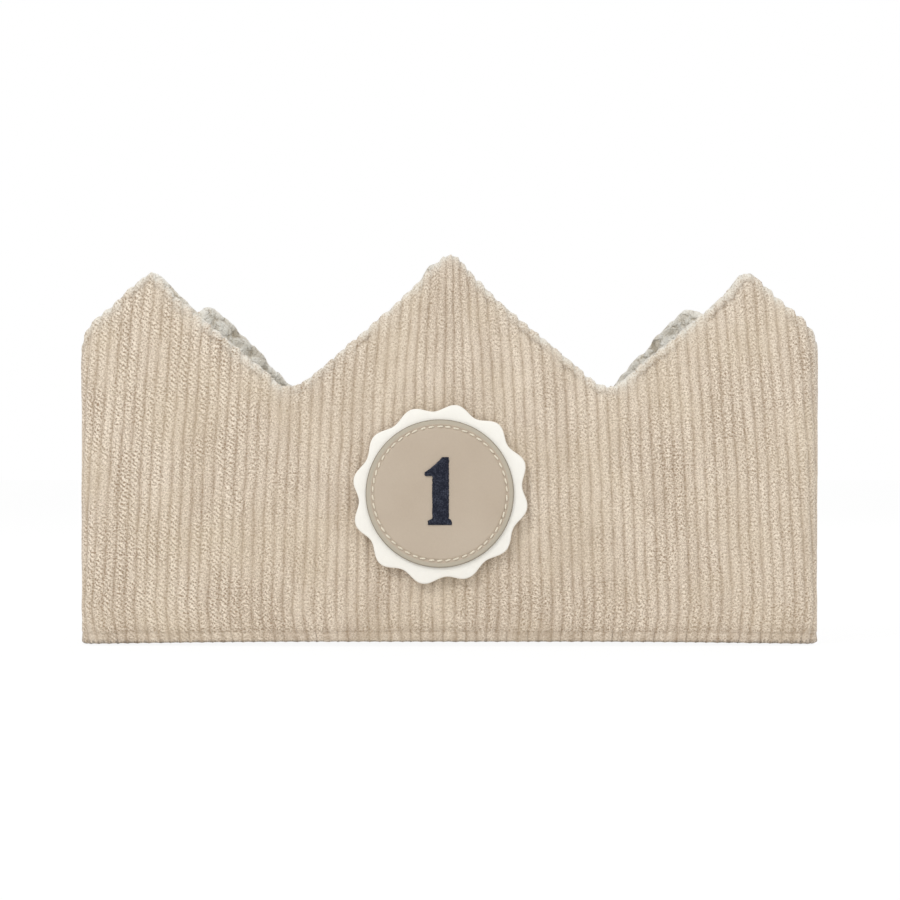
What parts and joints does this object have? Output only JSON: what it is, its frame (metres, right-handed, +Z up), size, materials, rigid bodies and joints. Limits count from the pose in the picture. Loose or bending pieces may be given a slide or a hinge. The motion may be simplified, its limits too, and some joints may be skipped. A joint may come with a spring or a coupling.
{
  "type": "corduroy birthday crown",
  "caption": "Soft child's birthday crown: a pointed band of wide-wale corduroy lined with curly fleece, closed behind with hook-and-loop tape, with a scalloped round number badge in front.",
  "frame": {"origin": "middle of the crown's bounding box at its bottom edge, badge included", "axes": "+Z up from the bottom edge to the points; the badge faces -Y; +X is to the right seen from the front, across the side folds"},
  "size_m": [0.238, 0.0766, 0.1252],
  "materials": {
    "corduroy": "soft cut pile in wide wales",
    "interlining": "stiff matt non-woven",
    "fleece": "curly pile",
    "loop_tape": "brushed loops",
    "hook_tape": "rows of small hooks",
    "rosette_felt": "smooth matt felt",
    "disc_leather": "matt, finely wrinkled",
    "numeral_flock": "fuzzy matt navy"
  },
  "bodies": {
    "root": {"outer_corduroy": "corduroy", "interlining": "interlining", "fleece_lining": "fleece", "closure_loop_strip": "loop_tape", "closure_hook_strip": "hook_tape", "badge_loop_dot": "loop_tape", "badge_hook_dot": "hook_tape", "badge_rosette": "rosette_felt", "badge_disc": "disc_leather", "badge_numeral": "numeral_flock"}
  },
  "joints": []
}
